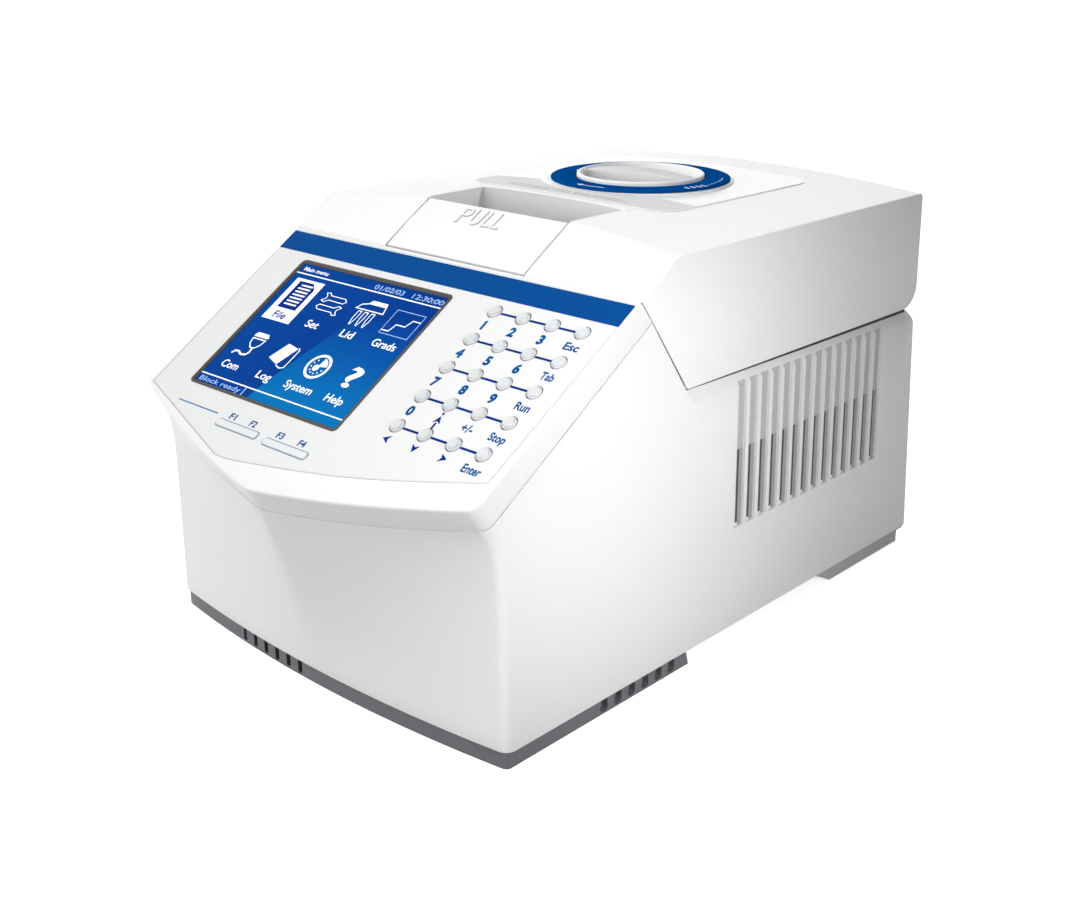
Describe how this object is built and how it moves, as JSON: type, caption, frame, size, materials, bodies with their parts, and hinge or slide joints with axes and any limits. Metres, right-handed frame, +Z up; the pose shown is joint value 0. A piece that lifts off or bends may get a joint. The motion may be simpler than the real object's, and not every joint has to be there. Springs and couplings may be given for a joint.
{
  "type": "thermal cycler",
  "caption": "Bench thermal cycler with a sloping keypad and display panel, a hinged heated lid with a pressure knob and pull latch, and a well block for sample tubes.",
  "frame": {"origin": "on the supporting surface, under the middle of the unit's bounding box", "axes": "+X towards the unit's right side seen from the front, +Y towards the back, +Z up"},
  "size_m": [0.2756, 0.4384, 0.2502],
  "materials": {
    "white_housing": "satin white moulding",
    "white_lid": "glossy white moulding",
    "dark_base": "fine-textured dark grey",
    "panel_print": "printed satin film",
    "lcd_glass": "polished",
    "lcd_module": "lit blue display",
    "key_cap": "satin silver-white",
    "blue_ring": "satin blue",
    "zinc_steel": "zinc plated",
    "aluminium": "anodised satin",
    "black_plastic": "fine texture",
    "grey_plastic": "fine texture",
    "circuit_board": "solder mask",
    "ceramic": "fired ceramic"
  },
  "bodies": {
    "body": {"base_pan": "dark_base", "main_housing": "white_housing", "panel_bezel": "white_housing", "panel_overlay": "panel_print", "lcd_window": "lcd_glass", "lcd_module": "lcd_module", "keypad_board": "circuit_board", "block_surround": "white_housing", "sample_block": "aluminium", "peltier_array": "ceramic", "heatsink": "aluminium", "chassis_bracket_left": "zinc_steel", "chassis_bracket_right": "zinc_steel", "fan_frame": "black_plastic", "main_board": "circuit_board", "power_supply": "zinc_steel", "rear_panel": "zinc_steel", "power_inlet": "black_plastic", "switch_frame": "black_plastic", "data_port": "black_plastic", "hinge_bracket_left": "zinc_steel", "hinge_bracket_right": "zinc_steel", "hinge_rod": "zinc_steel", "latch_catch": "zinc_steel"},
    "lid": {"lid_cover": "white_lid", "lid_chassis": "grey_plastic", "knob_bridge": "grey_plastic", "dial_ring": "blue_ring", "lid_label": "panel_print", "latch_pin_left": "zinc_steel", "latch_pin_right": "zinc_steel"},
    "knob": {"lid_knob": "white_lid"},
    "heated_plate_group": {"heated_plate": "aluminium", "plate_carrier": "grey_plastic", "lead_screw": "zinc_steel"},
    "latch": {"pull_latch": "white_lid"},
    "fan": {"fan_rotor": "black_plastic"},
    "switch": {"power_switch": "black_plastic"},
    "key_01_button": {"key_01": "key_cap"},
    "key_02_button": {"key_02": "key_cap"},
    "key_03_button": {"key_03": "key_cap"},
    "key_04_button": {"key_04": "key_cap"},
    "key_05_button": {"key_05": "key_cap"},
    "key_06_button": {"key_06": "key_cap"},
    "key_07_button": {"key_07": "key_cap"},
    "key_08_button": {"key_08": "key_cap"},
    "key_09_button": {"key_09": "key_cap"},
    "key_10_button": {"key_10": "key_cap"},
    "key_11_button": {"key_11": "key_cap"},
    "key_12_button": {"key_12": "key_cap"},
    "key_13_button": {"key_13": "key_cap"},
    "key_14_button": {"key_14": "key_cap"},
    "key_15_button": {"key_15": "key_cap"},
    "key_16_button": {"key_16": "key_cap"},
    "key_17_button": {"key_17": "key_cap"},
    "key_18_button": {"key_18": "key_cap"},
    "key_19_button": {"key_19": "key_cap"},
    "key_20_button": {"key_20": "key_cap"},
    "function_rocker_f1_f2_bar": {"function_rocker_f1_f2": "key_cap"},
    "function_rocker_f3_f4_bar": {"function_rocker_f3_f4": "key_cap"}
  },
  "joints": [
    {"name": "lid_hinge", "type": "hinge", "parent": "body", "child": "lid", "pos_m": [0, 0.19217, 0.179], "axis": [-1, 0, 0], "range_deg": [0, 75]},
    {"name": "latch_pivot", "type": "hinge", "parent": "lid", "child": "latch", "pos_m": [0, -0.06567, 0.21994], "axis": [1, 0, 0], "range_deg": [0, 14], "stiffness_Nm_per_rad": 0.12, "springref_deg": -20.05},
    {"name": "knob_turn", "type": "hinge", "parent": "lid", "child": "knob", "pos_m": [0, 0.09017, 0.246], "axis": [0, 0, -1], "range_deg": [0, 600]},
    {"name": "heated_plate_slide", "type": "slide", "parent": "lid", "child": "heated_plate_group", "axis": [0, 0, -1], "range_m": [0, 0.008]},
    {"name": "fan_spin", "type": "hinge", "parent": "body", "child": "fan", "pos_m": [0, 0.09017, 0.051], "axis": [0, 0, 1], "continuous": true},
    {"name": "power_switch_rock", "type": "hinge", "parent": "body", "child": "switch", "pos_m": [-0.056, 0.21068, 0.05352], "axis": [0, 0.0683, -0.9977], "range_deg": [0, 16]},
    {"name": "key_01_press", "type": "slide", "parent": "body", "child": "key_01_button", "axis": [0, 0.5405, -0.8413], "range_m": [0, 0.001], "stiffness_N_per_m": 400, "springref_m": -0.0005},
    {"name": "key_02_press", "type": "slide", "parent": "body", "child": "key_02_button", "axis": [0, 0.5405, -0.8413], "range_m": [0, 0.001], "stiffness_N_per_m": 400, "springref_m": -0.0005},
    {"name": "key_03_press", "type": "slide", "parent": "body", "child": "key_03_button", "axis": [0, 0.5405, -0.8413], "range_m": [0, 0.001], "stiffness_N_per_m": 400, "springref_m": -0.0005},
    {"name": "key_04_press", "type": "slide", "parent": "body", "child": "key_04_button", "axis": [0, 0.5405, -0.8413], "range_m": [0, 0.001], "stiffness_N_per_m": 400, "springref_m": -0.0005},
    {"name": "key_05_press", "type": "slide", "parent": "body", "child": "key_05_button", "axis": [0, 0.5405, -0.8413], "range_m": [0, 0.001], "stiffness_N_per_m": 400, "springref_m": -0.0005},
    {"name": "key_06_press", "type": "slide", "parent": "body", "child": "key_06_button", "axis": [0, 0.5405, -0.8413], "range_m": [0, 0.001], "stiffness_N_per_m": 400, "springref_m": -0.0005},
    {"name": "key_07_press", "type": "slide", "parent": "body", "child": "key_07_button", "axis": [0, 0.5405, -0.8413], "range_m": [0, 0.001], "stiffness_N_per_m": 400, "springref_m": -0.0005},
    {"name": "key_08_press", "type": "slide", "parent": "body", "child": "key_08_button", "axis": [0, 0.5405, -0.8413], "range_m": [0, 0.001], "stiffness_N_per_m": 400, "springref_m": -0.0005},
    {"name": "key_09_press", "type": "slide", "parent": "body", "child": "key_09_button", "axis": [0, 0.5405, -0.8413], "range_m": [0, 0.001], "stiffness_N_per_m": 400, "springref_m": -0.0005},
    {"name": "key_10_press", "type": "slide", "parent": "body", "child": "key_10_button", "axis": [0, 0.5405, -0.8413], "range_m": [0, 0.001], "stiffness_N_per_m": 400, "springref_m": -0.0005},
    {"name": "key_11_press", "type": "slide", "parent": "body", "child": "key_11_button", "axis": [0, 0.5405, -0.8413], "range_m": [0, 0.001], "stiffness_N_per_m": 400, "springref_m": -0.0005},
    {"name": "key_12_press", "type": "slide", "parent": "body", "child": "key_12_button", "axis": [0, 0.5405, -0.8413], "range_m": [0, 0.001], "stiffness_N_per_m": 400, "springref_m": -0.0005},
    {"name": "key_13_press", "type": "slide", "parent": "body", "child": "key_13_button", "axis": [0, 0.5405, -0.8413], "range_m": [0, 0.001], "stiffness_N_per_m": 400, "springref_m": -0.0005},
    {"name": "key_14_press", "type": "slide", "parent": "body", "child": "key_14_button", "axis": [0, 0.5405, -0.8413], "range_m": [0, 0.001], "stiffness_N_per_m": 400, "springref_m": -0.0005},
    {"name": "key_15_press", "type": "slide", "parent": "body", "child": "key_15_button", "axis": [0, 0.5405, -0.8413], "range_m": [0, 0.001], "stiffness_N_per_m": 400, "springref_m": -0.0005},
    {"name": "key_16_press", "type": "slide", "parent": "body", "child": "key_16_button", "axis": [0, 0.5405, -0.8413], "range_m": [0, 0.001], "stiffness_N_per_m": 400, "springref_m": -0.0005},
    {"name": "key_17_press", "type": "slide", "parent": "body", "child": "key_17_button", "axis": [0, 0.5405, -0.8413], "range_m": [0, 0.001], "stiffness_N_per_m": 400, "springref_m": -0.0005},
    {"name": "key_18_press", "type": "slide", "parent": "body", "child": "key_18_button", "axis": [0, 0.5405, -0.8413], "range_m": [0, 0.001], "stiffness_N_per_m": 400, "springref_m": -0.0005},
    {"name": "key_19_press", "type": "slide", "parent": "body", "child": "key_19_button", "axis": [0, 0.5405, -0.8413], "range_m": [0, 0.001], "stiffness_N_per_m": 400, "springref_m": -0.0005},
    {"name": "key_20_press", "type": "slide", "parent": "body", "child": "key_20_button", "axis": [0, 0.5405, -0.8413], "range_m": [0, 0.001], "stiffness_N_per_m": 400, "springref_m": -0.0005},
    {"name": "function_rocker_f1_f2_rock", "type": "hinge", "parent": "body", "child": "function_rocker_f1_f2_bar", "pos_m": [-0.0399, -0.19176, 0.13869], "axis": [0, -0.8413, -0.5405], "range_deg": [-2.5, 2.5], "stiffness_Nm_per_rad": 0.02},
    {"name": "function_rocker_f3_f4_rock", "type": "hinge", "parent": "body", "child": "function_rocker_f3_f4_bar", "pos_m": [0.0017, -0.1926, 0.13815], "axis": [0, -0.8413, -0.5405], "range_deg": [-2.5, 2.5], "stiffness_Nm_per_rad": 0.02}
  ],
  "couplings": [
    {"joint": "heated_plate_slide", "follows": "knob_turn", "m_per_rad": 0.00076394}
  ]
}
